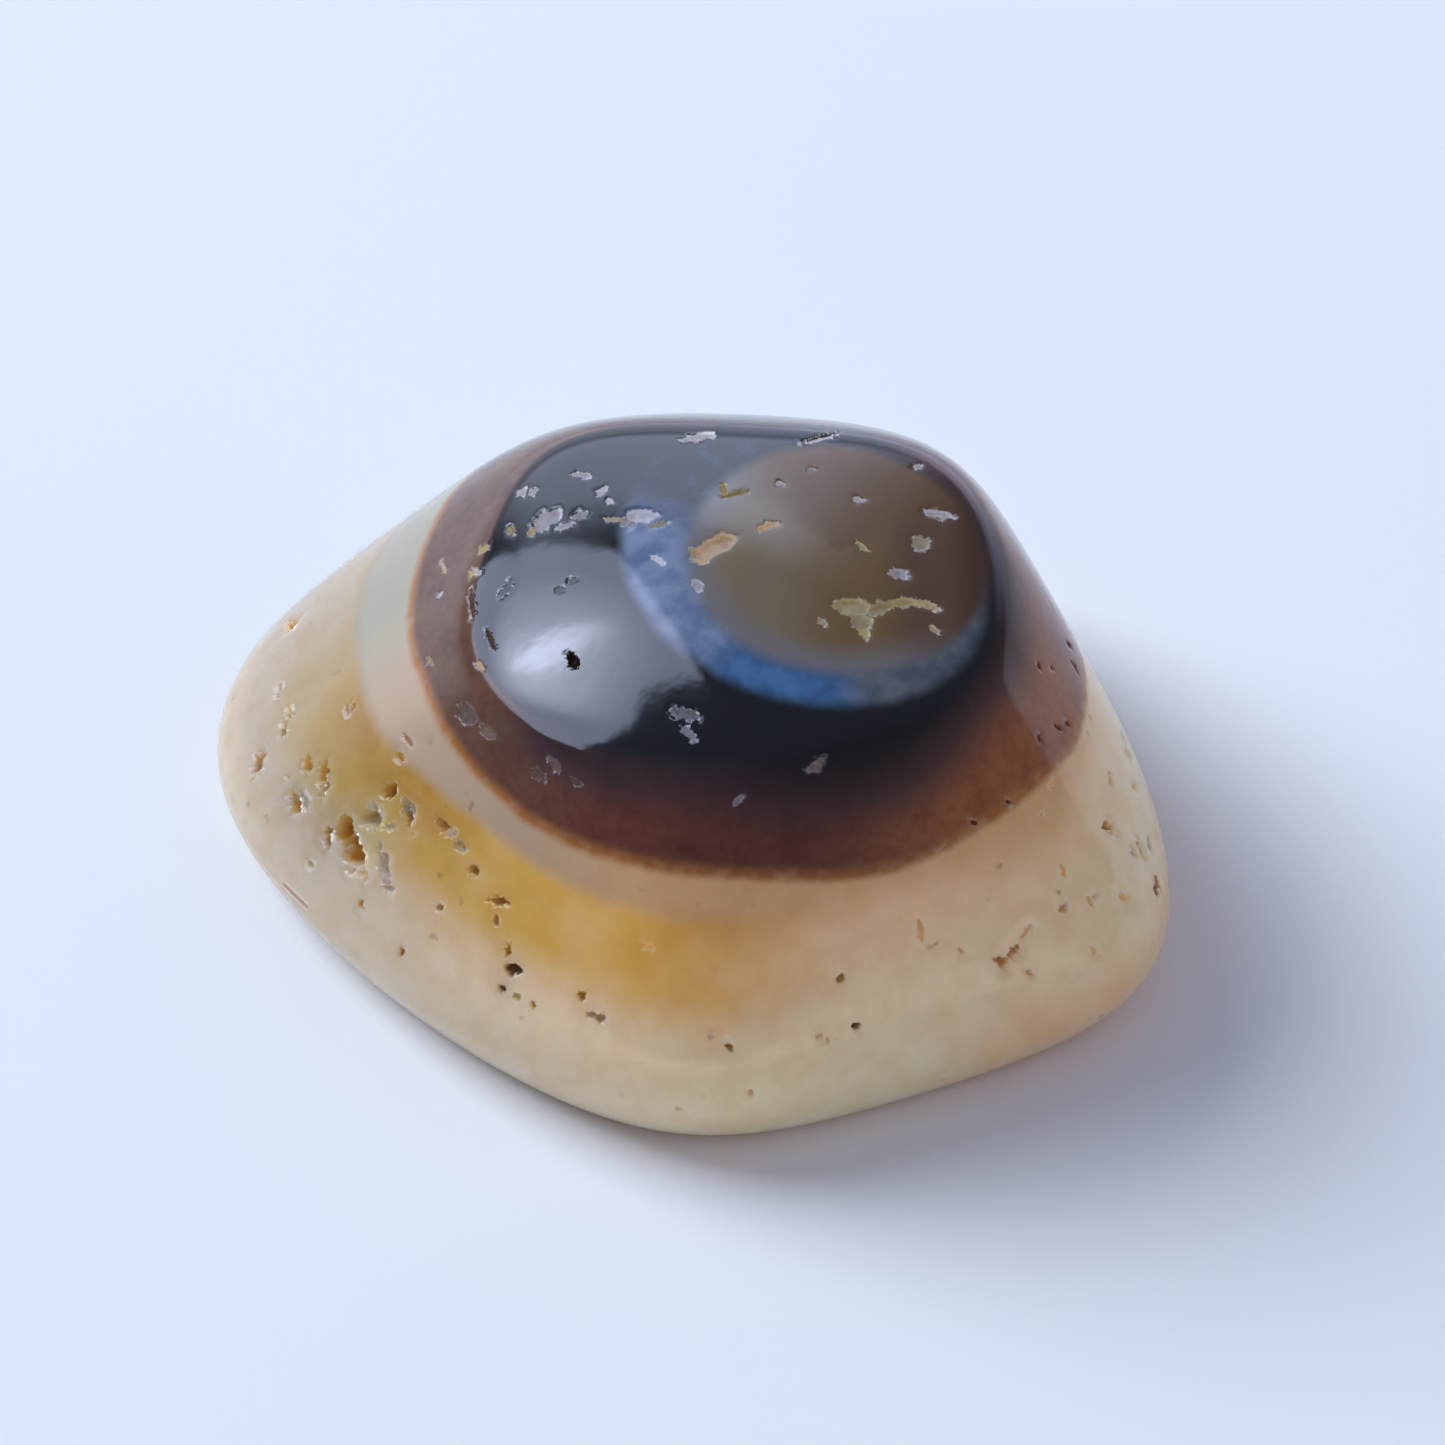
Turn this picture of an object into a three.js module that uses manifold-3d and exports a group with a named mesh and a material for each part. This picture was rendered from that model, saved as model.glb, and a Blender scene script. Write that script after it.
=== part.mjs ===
// An eye agate: one polished, waterworn piece of banded chalcedony. It is a low cushion with a gently
// domed top that a fairly crisp ridge bounds, slopes that run down to a low girdle, a short undercut
// below it, and a flat ground underside. Its eye of bands is colour only, so nothing of it is raised.
// Millimetres, +Z up. The long way of the stone lies along X, and the origin is on the underside,
// under the middle of the bounding box.
import * as THREE from 'three';
import { mergeVertices } from 'three/addons/utils/BufferGeometryUtils.js';
import Module from 'manifold-3d';

// The body's middle is this high above the underside. Every face is placed from that point.
const MIDDLE_HEIGHT = 4.8;

// The girdle, the widest line of the stone, is low. Below it the side leans in by the undercut's angle.
const GIRDLE_HEIGHT = 1.6;
const UNDERCUT = 25;

// The sides, all around: the bearing each one faces, how far out the girdle lies there, and how far
// up from level the slope above the girdle faces, in degrees. A low number is a steep slope.
const SIDES = [
  { bearing: 3, out: 11.7, faces: 35 }, // right end
  { bearing: 37, out: 10.4, faces: 20 }, // steep right back
  { bearing: 97, out: 11.2, faces: 22 }, // back
  { bearing: 137, out: 12.3, faces: 31 }, // left back
  { bearing: 190, out: 12.9, faces: 45 }, // long slope of the left tip
  { bearing: 231, out: 9.7, faces: 31 }, // left front, where most of the pits are
  { bearing: 256, out: 9.5, faces: 29 }, // front
  { bearing: 304, out: 9.3, faces: 28 }, // right front
];

// A narrow shoulder between the domed top and the steep back.
const SHOULDER = { bearing: 95, faces: 58, reach: 7.0 };

// The domed top is five soft faces: the bearing each leans towards, its tilt, and its distance from
// the middle. The left front one leans most.
const TOP_FACES = [
  { bearing: 90, tilt: 11, reach: 6.25 },
  { bearing: 180, tilt: 13, reach: 6.35 },
  { bearing: 222, tilt: 28, reach: 5.8 },
  { bearing: 270, tilt: 20, reach: 6.0 },
  { bearing: 0, tilt: 14, reach: 5.6 },
];

// How crisply faces meet: a higher number gives a tighter edge.
const CRISP_SIDES = 9;
const CRISP_GIRDLE = 18;
const CRISP_TOP = 8;
const CRISP_RIDGE = 44;
const CRISP_FOOT = 20;

// The underside is rounded in from this far below where it is ground flat.
const FOOT_SPARE = 0.12;

// Fineness of the faceted body and of the pits.
const BODY_DETAIL = 16;
const PIT_DETAIL = 1;

// A pit's cutter is centred this share of the pit's depth above the skin, and is this uneven.
const PIT_LIFT = 0.3;
const PIT_UNEVEN = 0.13;

// Each pit: the bearing and elevation at which it is seen from the middle, then its length, width and
// depth, then how far its length is turned from level, in degrees.
const HONEY_PITS = [
  { at: [-150, -7], size: [1.6, 0.75, 0.5], turn: 166 }, // the largest, amber inside
  { at: [-150, -2], size: [0.65, 0.48, 0.28], turn: 177 },
  { at: [-144, 2], size: [0.7, 0.25, 0.22], turn: 148 },
  { at: [-150, 3], size: [0.5, 0.35, 0.3], turn: 58 },
  { at: [-143, -6], size: [1.2, 0.45, 0.18], turn: 145 },
  { at: [-154, -8], size: [0.6, 0.3, 0.22], turn: 149 },
  { at: [-162, -8], size: [0.75, 0.42, 0.28], turn: 176 },
  { at: [-160, -4], size: [0.55, 0.25, 0.2], turn: 115 },
  { at: [-165, -4], size: [0.45, 0.28, 0.18], turn: 154 },
  { at: [-162, -3], size: [0.6, 0.28, 0.18], turn: 142 },
  { at: [-171, -9], size: [0.8, 0.38, 0.16], turn: 135 },
  { at: [-173, -5], size: [0.55, 0.32, 0.12], turn: 165 },
  { at: [-175, -4], size: [0.33, 0.26, 0.18], turn: 52 },
];
const FRONT_PITS = [
  { at: [-137, 5], size: [0.55, 0.26, 0.2], turn: 178 },
  { at: [-132, 4], size: [0.5, 0.28, 0.2], turn: 3 },
  { at: [-127, 2], size: [0.34, 0.26, 0.16], turn: 176 },
  { at: [-120, 0], size: [0.6, 0.24, 0.18], turn: 23 },
  { at: [-115, -6], size: [0.4, 0.22, 0.18], turn: 98 },
  { at: [-113, -8], size: [0.55, 0.34, 0.3], turn: 21 },
  { at: [-114, -11], size: [0.27, 0.22, 0.24], turn: 14 },
  { at: [-108, -11], size: [0.25, 0.2, 0.16], turn: 105 },
  { at: [-100, -7], size: [0.27, 0.24, 0.2], turn: 10 },
  { at: [-97, -9], size: [0.48, 0.28, 0.18], turn: 177 },
  { at: [-76, -10], size: [0.22, 0.2, 0.16], turn: 0 },
  { at: [-57, -4], size: [0.3, 0.26, 0.16], turn: 32 },
  { at: [-56, -11], size: [0.26, 0.24, 0.2], turn: 156 },
  { at: [-143, -12], size: [0.26, 0.22, 0.16], turn: 0 },
  { at: [-133, -14], size: [0.26, 0.2, 0.18], turn: 114 },
];
const RIGHT_PITS = [
  { at: [-32, -8], size: [0.36, 0.28, 0.2], turn: 142 },
  { at: [-30, -7], size: [0.52, 0.2, 0.14], turn: 24 },
  { at: [-6, -1], size: [0.46, 0.38, 0.22], turn: 134 },
  { at: [-5, -6], size: [0.24, 0.22, 0.2], turn: 103 },
  { at: [-3, -7], size: [0.55, 0.22, 0.14], turn: 61 },
  { at: [-5, -11], size: [0.4, 0.22, 0.14], turn: 50 },
];
// Shallow chips in the dark top: the curved, wing-shaped one, the long flake, and the smaller ones.
const TOP_CHIPS = [
  { at: [-9, 56], size: [1.3, 0.42, 0.12], turn: 50 },
  { at: [-4, 53], size: [1.05, 0.26, 0.1], turn: 154 },
  { at: [5, 46], size: [1.3, 0.22, 0.08], turn: 103 },
  { at: [94, 83], size: [1.5, 0.36, 0.1], turn: 55 },
  { at: [-54, 35], size: [0.32, 0.3, 0.2], turn: 2 },
  { at: [-135, 48], size: [0.4, 0.3, 0.2], turn: 163 },
  { at: [164, 47], size: [0.58, 0.42, 0.1], turn: 172 },
  { at: [146, 63], size: [0.46, 0.3, 0.1], turn: 137 },
  { at: [64, 70], size: [0.73, 0.22, 0.07], turn: 73 },
  { at: [39, 38], size: [0.57, 0.24, 0.08], turn: 59 },
  { at: [17, 48], size: [0.35, 0.3, 0.08], turn: 86 },
];
// The back isn't in the picture. It gets a few pits like the front's.
const BACK_PITS = [
  { at: [168, -5], size: [0.8, 0.45, 0.26], turn: 50 },
  { at: [157, -2], size: [0.6, 0.4, 0.22], turn: 160 },
  { at: [149, -10], size: [0.9, 0.5, 0.3], turn: 120 },
  { at: [118, -4], size: [0.5, 0.4, 0.2], turn: 0 },
  { at: [92, -10], size: [0.7, 0.35, 0.2], turn: 30 },
  { at: [61, -5], size: [0.55, 0.4, 0.22], turn: 80 },
];

const COLOUR = 0xb39a78;
const ROUGHNESS = 0.18;

// A unit vector at a bearing around Z from +X, raised by an elevation, both in degrees.
function heading(bearing, elevation) {
  const around = THREE.MathUtils.degToRad(bearing);
  const up = THREE.MathUtils.degToRad(elevation);
  return new THREE.Vector3(Math.cos(around) * Math.cos(up), Math.sin(around) * Math.cos(up), Math.sin(up));
}

// A face as its outward vector divided by its distance from the middle: a point p is on it when p·face is 1.
function face(bearing, elevation, reach) {
  return heading(bearing, elevation).divideScalar(reach);
}

// The same for a face given by a point that it passes through: out from the middle and this high.
function faceThrough(bearing, elevation, out, height) {
  const tilt = THREE.MathUtils.degToRad(elevation);
  return face(bearing, elevation, out * Math.cos(tilt) + height * Math.sin(tilt));
}

const girdle = GIRDLE_HEIGHT - MIDDLE_HEIGHT;
const upperFaces = SIDES.map((side) => faceThrough(side.bearing, side.faces, side.out, girdle));
upperFaces.push(face(SHOULDER.bearing, SHOULDER.faces, SHOULDER.reach));
const lowerFaces = SIDES.map((side) => faceThrough(side.bearing, -UNDERCUT, side.out, girdle));
const topFaces = TOP_FACES.map((top) => face(top.bearing, 90 - top.tilt, top.reach));

// The soft largest of some numbers: close to the plain largest when it stands out from the rest.
function softLargest(values, crispness) {
  const largest = Math.max(...values, 1e-9);
  const sum = values.reduce((total, value) => total + (Math.max(value, 0) / largest) ** crispness, 0);
  return largest * sum ** (1 / crispness);
}

// 1 on the stone's skin, less inside and more outside, for a point measured from the middle.
function skinLevel(point) {
  const level = (faces, crispness) => softLargest(faces.map((one) => one.dot(point)), crispness);
  const sides = softLargest([level(upperFaces, CRISP_SIDES), level(lowerFaces, CRISP_SIDES)], CRISP_GIRDLE);
  const body = softLargest([sides, level(topFaces, CRISP_TOP)], CRISP_RIDGE);
  return softLargest([body, -point.z / (MIDDLE_HEIGHT + FOOT_SPARE)], CRISP_FOOT);
}

function pointOnSkin(direction) {
  return direction.clone().divideScalar(skinLevel(direction));
}

// The way the skin faces, from how its level changes around a point.
function skinNormal(point) {
  const step = 0.001;
  const change = (axis) => {
    const ahead = point.clone();
    const behind = point.clone();
    ahead[axis] += step;
    behind[axis] -= step;
    return skinLevel(ahead) - skinLevel(behind);
  };
  return new THREE.Vector3(change('x'), change('y'), change('z')).normalize();
}

// A closed geometry with shared corners, as the solid library reads it.
function toSolid(library, geometry) {
  geometry.deleteAttribute('normal');
  geometry.deleteAttribute('uv');
  const joined = mergeVertices(geometry, 1e-5);
  const vertProperties = new Float32Array(joined.getAttribute('position').array);
  const triVerts = new Uint32Array(joined.getIndex().array);
  return new library.Manifold(new library.Mesh({ numProp: 3, vertProperties, triVerts }));
}

function toGeometry(solid) {
  const mesh = solid.getMesh();
  const geometry = new THREE.BufferGeometry();
  geometry.setAttribute('position', new THREE.BufferAttribute(new Float32Array(mesh.vertProperties), 3));
  geometry.setIndex(new THREE.BufferAttribute(new Uint32Array(mesh.triVerts), 1));
  geometry.computeVertexNormals();
  return geometry;
}

// The body before its underside is ground flat: a fine ball with each corner moved to the skin.
function bodyGeometry() {
  const ball = new THREE.IcosahedronGeometry(1, BODY_DETAIL);
  const places = ball.getAttribute('position');
  for (let i = 0; i < places.count; i += 1) {
    const direction = new THREE.Vector3().fromBufferAttribute(places, i).normalize();
    const point = pointOnSkin(direction);
    places.setXYZ(i, point.x, point.y, point.z);
  }
  return ball;
}

// The block below the ground underside.
function groundGeometry() {
  const block = new THREE.BoxGeometry(60, 60, 20);
  block.translate(0, 0, -MIDDLE_HEIGHT - 10);
  return block;
}

// An uneven lump that leaves one pit when it is cut away. Its long way lies along the skin.
function pitGeometry(pit, number) {
  const [bearing, elevation] = pit.at;
  const [long, wide, deep] = pit.size;
  const lump = new THREE.IcosahedronGeometry(1, PIT_DETAIL);
  const places = lump.getAttribute('position');
  for (let i = 0; i < places.count; i += 1) {
    const corner = new THREE.Vector3().fromBufferAttribute(places, i);
    const wave = Math.sin(5.1 * corner.x + 2.3 * number) + Math.sin(4.3 * corner.y + 1.7 * number + 2 * corner.z);
    corner.multiplyScalar(1 + (PIT_UNEVEN * wave) / 2);
    places.setXYZ(i, corner.x, corner.y, corner.z);
  }
  lump.scale(long / 2, wide / 2, deep * (1 + PIT_LIFT));
  lump.rotateZ(THREE.MathUtils.degToRad(pit.turn));
  const point = pointOnSkin(heading(bearing, elevation));
  const outward = skinNormal(point);
  const level = heading(bearing + 90, 0);
  level.addScaledVector(outward, -level.dot(outward)).normalize();
  const upslope = outward.clone().cross(level);
  lump.applyMatrix4(new THREE.Matrix4().makeBasis(level, upslope, outward));
  const middle = point.addScaledVector(outward, deep * PIT_LIFT);
  lump.translate(middle.x, middle.y, middle.z);
  return lump;
}

function stoneGeometry(library) {
  const pits = [...HONEY_PITS, ...FRONT_PITS, ...RIGHT_PITS, ...TOP_CHIPS, ...BACK_PITS];
  let stone = toSolid(library, bodyGeometry()).subtract(toSolid(library, groundGeometry()));
  pits.forEach((pit, number) => {
    stone = stone.subtract(toSolid(library, pitGeometry(pit, number)));
  });
  const geometry = toGeometry(stone);
  geometry.computeBoundingBox();
  const middle = geometry.boundingBox.getCenter(new THREE.Vector3());
  geometry.translate(-middle.x, -middle.y, -geometry.boundingBox.min.z);
  return geometry;
}

function agateMaterial() {
  const material = new THREE.MeshStandardMaterial({ color: COLOUR, roughness: ROUGHNESS, metalness: 0 });
  material.name = 'polished banded agate';
  return material;
}

const library = await Module();
library.setup();

const stone = new THREE.Mesh(stoneGeometry(library), agateMaterial());
stone.name = 'eye_agate';

const part = new THREE.Group();
part.add(stone);

export default part;
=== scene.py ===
import math

import bmesh
import bpy
import numpy as np
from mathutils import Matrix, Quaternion, Vector, noise


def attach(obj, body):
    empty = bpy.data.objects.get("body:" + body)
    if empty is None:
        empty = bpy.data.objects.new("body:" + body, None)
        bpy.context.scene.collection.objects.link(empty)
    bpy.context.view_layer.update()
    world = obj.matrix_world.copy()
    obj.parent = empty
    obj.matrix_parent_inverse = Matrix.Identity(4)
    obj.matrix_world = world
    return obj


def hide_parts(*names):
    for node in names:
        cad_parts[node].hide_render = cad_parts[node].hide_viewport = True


# An eye agate: one polished, waterworn piece of banded chalcedony, lying on a pale floor.
# Shapes are worked out in millimetres and written in metres. +Z is up, and X is the stone's long way.

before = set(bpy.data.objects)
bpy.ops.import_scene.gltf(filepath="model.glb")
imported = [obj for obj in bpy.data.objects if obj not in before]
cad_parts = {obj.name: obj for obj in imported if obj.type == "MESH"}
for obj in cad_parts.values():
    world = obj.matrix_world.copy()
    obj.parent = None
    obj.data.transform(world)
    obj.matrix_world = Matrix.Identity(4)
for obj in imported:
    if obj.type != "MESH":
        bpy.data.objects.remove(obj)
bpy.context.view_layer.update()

MM = 0.001

# The body's middle is this high above the underside. Every face is placed from that point.
MIDDLE_HEIGHT = 4.8
# The girdle, the widest line, is low. Below it the side leans in by the undercut's angle.
GIRDLE_HEIGHT = 1.6
UNDERCUT = 25

# The sides: the bearing each one faces, how far out the girdle lies there, and how far up from level
# the slope above it faces, in degrees.
SIDES = (
    (3, 11.7, 35),  # right end
    (37, 10.4, 20),  # steep right back
    (97, 11.2, 22),  # back
    (137, 12.3, 31),  # left back
    (190, 12.9, 45),  # long slope of the left tip
    (231, 9.7, 31),  # left front, where most of the pits are
    (256, 9.5, 29),  # front
    (304, 9.3, 28),  # right front
)
# A narrow shoulder between the domed top and the back: bearing, faces, reach.
SHOULDER = (95, 58, 7.0)
# The domed top's five soft faces: the bearing each leans towards, its tilt, its reach.
TOP_FACES = ((90, 11, 6.25), (180, 13, 6.35), (222, 28, 5.8), (270, 20, 6.0), (0, 14, 5.6))

# The camera looks down at the stone from its front, a little to its right.
CAMERA_BEARING = 12
CAMERA_ELEVATION = 45
CAMERA_DISTANCE = 130
CAMERA_TARGET = (0.75, -0.90, 5.0)
CAMERA_ASIDE = 0.15
CAMERA_RAISED = 0.01
LENS = 139.3
SENSOR_WIDTH = 36
# Nothing nearer to the camera than this, in m, is shown.
NEAREST = 0.005

turned = math.radians(CAMERA_BEARING)
risen = math.radians(CAMERA_ELEVATION)
TO_RIGHT = Vector((math.cos(turned), math.sin(turned), 0))
AWAY = Vector((-math.sin(turned), math.cos(turned), 0))
UP = Vector((0, 0, 1))
TO_CAMERA = UP * math.sin(risen) - AWAY * math.cos(risen)

# How crisply faces meet: a higher number gives a tighter edge.
CRISP_SIDES = 9
CRISP_GIRDLE = 18
CRISP_TOP = 8
CRISP_RIDGE = 44
CRISP_FOOT = 20
# About how far the ridge around the top is from the middle, in mm.
RIDGE_REACH = 8
# The underside is rounded in from this far below where it is ground flat.
FOOT_SPARE = 0.12
# How far around a point the skin's level is taken for the way it faces, in mm.
NORMAL_STEP = 0.001
# Keeps a division from being by zero.
TINY = 1e-12

# What is shallower than this, in mm, is a chip, with a cleaner and crisper rim than a pit's.
CHIP_DEPTH = 0.11
# How ragged each one's outline is, and how wide its rim is as a share of its size.
PIT_EDGE = (1.0, 0.75)
CHIP_EDGE = (0.55, 0.45)
# A pit reaches this many times its plain oval at most, and its wandering rim begins about here.
PIT_REACH = 1.6
RIM_STARTS = 1.1
# Noise in a pit, as its strength and its waves to half a width: the lobes of its outline, then its
# uneven floor. Then how dark its floor is on average, with the strength and waves of the change in it:
# partly clay in the hollow and partly painted shade of the hollow.
LOBES = ((0.6, 1.0), (0.35, 2.3))
UNEVEN = (0.5, 1.7)
CLAY_AND_SHADE = (0.4, 0.9, 1.4)
# How much a lining's brightness varies from one pit to the next, its brightness at a pit's edge, and
# how much of it is lost where the floor is darkest, as clay and as painted shade.
LINING_VARIES = 0.5
LINING_EDGE = 1.2
CLAY_AND_SHADE_LOSS = 0.6
# How far apart one pit and the next lie in the noise that shapes them and in the noise that sets their
# brightness, and where the line along which the second is read crosses it.
SHAPE_STEP = 7.3
TONE_STEP = 5.7
TONE_ACROSS, TONE_UP = 0.4, 0.2

# The fine skin: the ball's subdivisions, and how far beyond a pit's edge, in mm, each further
# division around it reaches. A deep pit's rim wanders, so they reach further around it by a share of
# its size.
BALL_SUBDIVISIONS = 7
PIT_MARGINS = (0.11, 0.05, 0.02)
DEEP_PIT_REACH = 1.13
# Skin that lies this far in or out from a pit's own level, in mm, isn't part of it.
FAR_THROUGH = 2


# Colours


def linear(code):
    """An sRGB hex colour as the linear numbers that a socket takes."""
    parts = [int(code[i : i + 2], 16) / 255 for i in (1, 3, 5)]
    return tuple(c / 12.92 if c <= 0.04045 else ((c + 0.055) / 1.055) ** 2.4 for c in parts) + (1.0,)


# The stone's colours, from the outermost band in. The body is greyer and painted darker at the left tip,
# towards the lamp, and milkier, brighter and warmer at the right end, away from it: painted shade and a
# painted glow that stand in for light passing through the stone. Honey and the pale band tint it.
CREAM_PAINTED_DARK = "#b3a189"
CREAM_PAINTED_GLOW = "#fcdab0"
CREAM_FOOT = "#d0bda2"
HONEY_TINT = "#f1da84"
HONEY_DEEP = "#f0dcae"
SLOPE_MOTTLE = "#faf6ee"
# A tint over the right end's foot: a painted glow of light passing through the stone.
PAINTED_GLOW_FOOT_TINT = "#ffe6e0"
PALE_GREY = "#a39c88"
PALE_PINK = "#b69d82"
PALE_TINT = "#e2d4be"
RIM_ORANGE = "#a86c34"
RED_BROWN = "#703f2e"
BROWN_BRIGHT = "#a2663e"
BROWN_MAUVE = "#564a4c"
BROWN_WORN = "#8a5038"
BROWN_LEFT = "#684a38"
# A painted reflection: the room's sheen along the rounded ridge.
PAINTED_RIDGE_SHEEN = "#6c6872"
BROWN_MOTTLE = "#eee6e2"
BROWN_CLOUD = "#ebdcdc"
BLACK = "#121214"
BLACK_WORN = "#2e2a2e"
PLUM = "#3a2c34"
BLUE_LIGHT = "#808da4"
BLUE_DEEP = "#4c7098"
BLUE_DIM = "#65686e"
BLUE_DARK = "#0c1224"
BLUE_MOTTLE = "#c8d2de"
HALO_GREY = "#746f70"
IRIS_OLIVE = "#7b6b54"
IRIS_RED = "#725731"
IRIS_MAUVE = "#604631"
IRIS_EDGE = "#4a2f1c"
# The iris's back, painted darker and warmer to offset the back wall's reflection there: painted shade.
IRIS_TOP_PAINTED_SHADE = "#684a24"
SPECK_BROWN = "#7d5c3c"

# What lines a pit or shows in a chip.
AMBER = "#a88438"
SMOKE = "#6e7078"
GREY = "#a3967f"
GOLD = "#a8823c"
OLIVE = "#98834e"
BROWN = "#967650"
DARK = "#2c1d10"
MAROON = "#4c2a1a"
# Frosted chips are whitish; on the dark top this white also stands in for their glints, a painted
# highlight.
WHITE_FROST_AND_GLINT = "#b2aeb4"
TAN = "#aa9c78"
PEACH = "#bda488"
RUST = "#8a5228"
LILAC = "#a2968f"
DUSK = "#6c5a52"
CARAMEL = "#d8a873"
FLINT = "#77757c"


def heading(bearing, elevation):
    """A unit vector at a bearing around Z from +X, raised by an elevation, both in degrees."""
    around, up = math.radians(bearing), math.radians(elevation)
    return np.array([math.cos(around) * math.cos(up), math.sin(around) * math.cos(up), math.sin(up)])


def face_through(bearing, elevation, out, height):
    """A face as its outward vector over its distance, from a point that it passes through."""
    tilt = math.radians(elevation)
    return heading(bearing, elevation) / (out * math.cos(tilt) + height * math.sin(tilt))


GIRDLE = GIRDLE_HEIGHT - MIDDLE_HEIGHT
UPPER_FACES = np.array(
    [face_through(bearing, faces, out, GIRDLE) for bearing, out, faces in SIDES]
    + [heading(SHOULDER[0], SHOULDER[1]) / SHOULDER[2]]
)
LOWER_FACES = np.array([face_through(bearing, -UNDERCUT, out, GIRDLE) for bearing, out, _ in SIDES])
DOME_FACES = np.array([heading(bearing, 90 - tilt) / reach for bearing, tilt, reach in TOP_FACES])


def soft_largest(columns, crispness):
    """Row by row, close to the plain largest of the columns when one stands out from the rest."""
    columns = np.maximum(columns, 0)
    largest = columns.max(axis=1, keepdims=True) + TINY
    return largest[:, 0] * ((columns / largest) ** crispness).sum(axis=1) ** (1 / crispness)


def sides_and_dome(points):
    """How far out points are as measured by the sides' faces, and by the domed top's."""
    upper = soft_largest(points @ UPPER_FACES.T, CRISP_SIDES)
    lower = soft_largest(points @ LOWER_FACES.T, CRISP_SIDES)
    sides = soft_largest(np.stack([upper, lower], 1), CRISP_GIRDLE)
    return sides, soft_largest(points @ DOME_FACES.T, CRISP_TOP)


def skin_level(points):
    """1 on the stone's skin, less inside, for points in mm measured from the middle."""
    sides, dome = sides_and_dome(points)
    body = soft_largest(np.stack([sides, dome], 1), CRISP_RIDGE)
    foot = -points[:, 2] / (MIDDLE_HEIGHT + FOOT_SPARE)
    return soft_largest(np.stack([body, foot], 1), CRISP_FOOT)


def on_skin(points):
    """Points moved straight out from the middle to the skin, with the underside ground flat."""
    placed = points / skin_level(points)[:, None]
    placed[:, 2] = np.maximum(placed[:, 2], -MIDDLE_HEIGHT)
    return placed


def skin_normals(points):
    """The way the skin faces, from how its level changes around each point."""
    steps = NORMAL_STEP * np.eye(3)
    changes = [skin_level(points + step) - skin_level(points - step) for step in steps]
    normals = np.stack(changes, 1)
    return normals / np.linalg.norm(normals, axis=1)[:, None]


# Pits and chips
# Each: bearing and elevation as seen from the middle, then length, width and depth in mm, then how
# far its length is turned from level, and its lining.

HONEY_PITS = (
    (-150, -7, 1.6, 0.75, 0.5, 166, AMBER),
    (-150, -2, 0.65, 0.48, 0.28, 177, GREY),
    (-144, 2, 0.7, 0.25, 0.22, 148, BROWN),
    (-150, 3, 0.5, 0.35, 0.3, 58, GOLD),
    (-143, -6, 1.2, 0.45, 0.18, 145, LILAC),
    (-154, -8, 0.6, 0.3, 0.22, 149, BROWN),
    (-162, -8, 0.75, 0.42, 0.28, 176, GOLD),
    (-160, -4, 0.55, 0.25, 0.2, 115, GREY),
    (-165, -4, 0.45, 0.28, 0.18, 154, GOLD),
    (-162, -3, 0.6, 0.28, 0.18, 142, GOLD),
    (-171, -9, 0.8, 0.38, 0.16, 135, BROWN),
    (-173, -5, 0.55, 0.32, 0.12, 165, OLIVE),
    (-175, -4, 0.33, 0.26, 0.18, 52, OLIVE),
)
FRONT_PITS = (
    (-137, 5, 0.55, 0.26, 0.2, 178, BROWN),
    (-132, 4, 0.5, 0.28, 0.2, 3, GREY),
    (-127, 2, 0.34, 0.26, 0.16, 176, BROWN),
    (-120, 0, 0.6, 0.24, 0.18, 23, BROWN),
    (-115, -6, 0.4, 0.22, 0.18, 98, GOLD),
    (-113, -8, 0.55, 0.34, 0.3, 21, DARK),
    (-114, -11, 0.27, 0.22, 0.24, 14, DARK),
    (-108, -11, 0.25, 0.2, 0.16, 105, AMBER),
    (-100, -7, 0.27, 0.24, 0.2, 10, AMBER),
    (-97, -9, 0.48, 0.28, 0.18, 177, GREY),
    (-76, -10, 0.22, 0.2, 0.16, 0, BROWN),
    (-57, -4, 0.3, 0.26, 0.16, 32, OLIVE),
    (-56, -11, 0.26, 0.24, 0.2, 156, DARK),
    (-143, -12, 0.26, 0.22, 0.16, 0, BROWN),
    (-133, -14, 0.26, 0.2, 0.18, 114, RUST),
)
RIGHT_PITS = (
    (-32, -8, 0.36, 0.28, 0.2, 142, CARAMEL),
    (-30, -7, 0.52, 0.2, 0.14, 24, CARAMEL),
    (-6, -1, 0.46, 0.38, 0.22, 134, GOLD),
    (-5, -6, 0.24, 0.22, 0.2, 103, DARK),
    (-3, -7, 0.55, 0.22, 0.14, 61, CARAMEL),
    (-5, -11, 0.4, 0.22, 0.14, 50, DARK),
)
TOP_CHIPS = (
    (-4, 56, 0.95, 0.56, 0.1, 115, TAN),
    (-8, 54, 0.80, 0.48, 0.1, 48, TAN),
    (-13, 52, 0.60, 0.24, 0.1, 34, TAN),
    (0, 51, 0.80, 0.34, 0.09, 141, TAN),
    (5, 47, 0.80, 0.28, 0.08, 118, TAN),
    (6, 43, 0.60, 0.24, 0.07, 79, TAN),
    (106, 82, 1.20, 0.56, 0.1, 39, PEACH),
    (139, 84, 0.60, 0.42, 0.1, 81, PEACH),
    (-54, 35, 0.42, 0.40, 0.18, 2, WHITE_FROST_AND_GLINT),
    (-135, 48, 0.55, 0.24, 0.16, 165, DARK),
    (164, 47, 0.70, 0.50, 0.08, 172, WHITE_FROST_AND_GLINT),
    (146, 64, 0.78, 0.40, 0.08, 134, WHITE_FROST_AND_GLINT),
    (153, 63, 0.50, 0.28, 0.08, 89, WHITE_FROST_AND_GLINT),
    (63, 70, 0.62, 0.24, 0.07, 71, PEACH),
    (38, 38, 0.66, 0.26, 0.08, 58, WHITE_FROST_AND_GLINT),
    (17, 48, 0.42, 0.32, 0.08, 67, WHITE_FROST_AND_GLINT),
)
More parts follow.
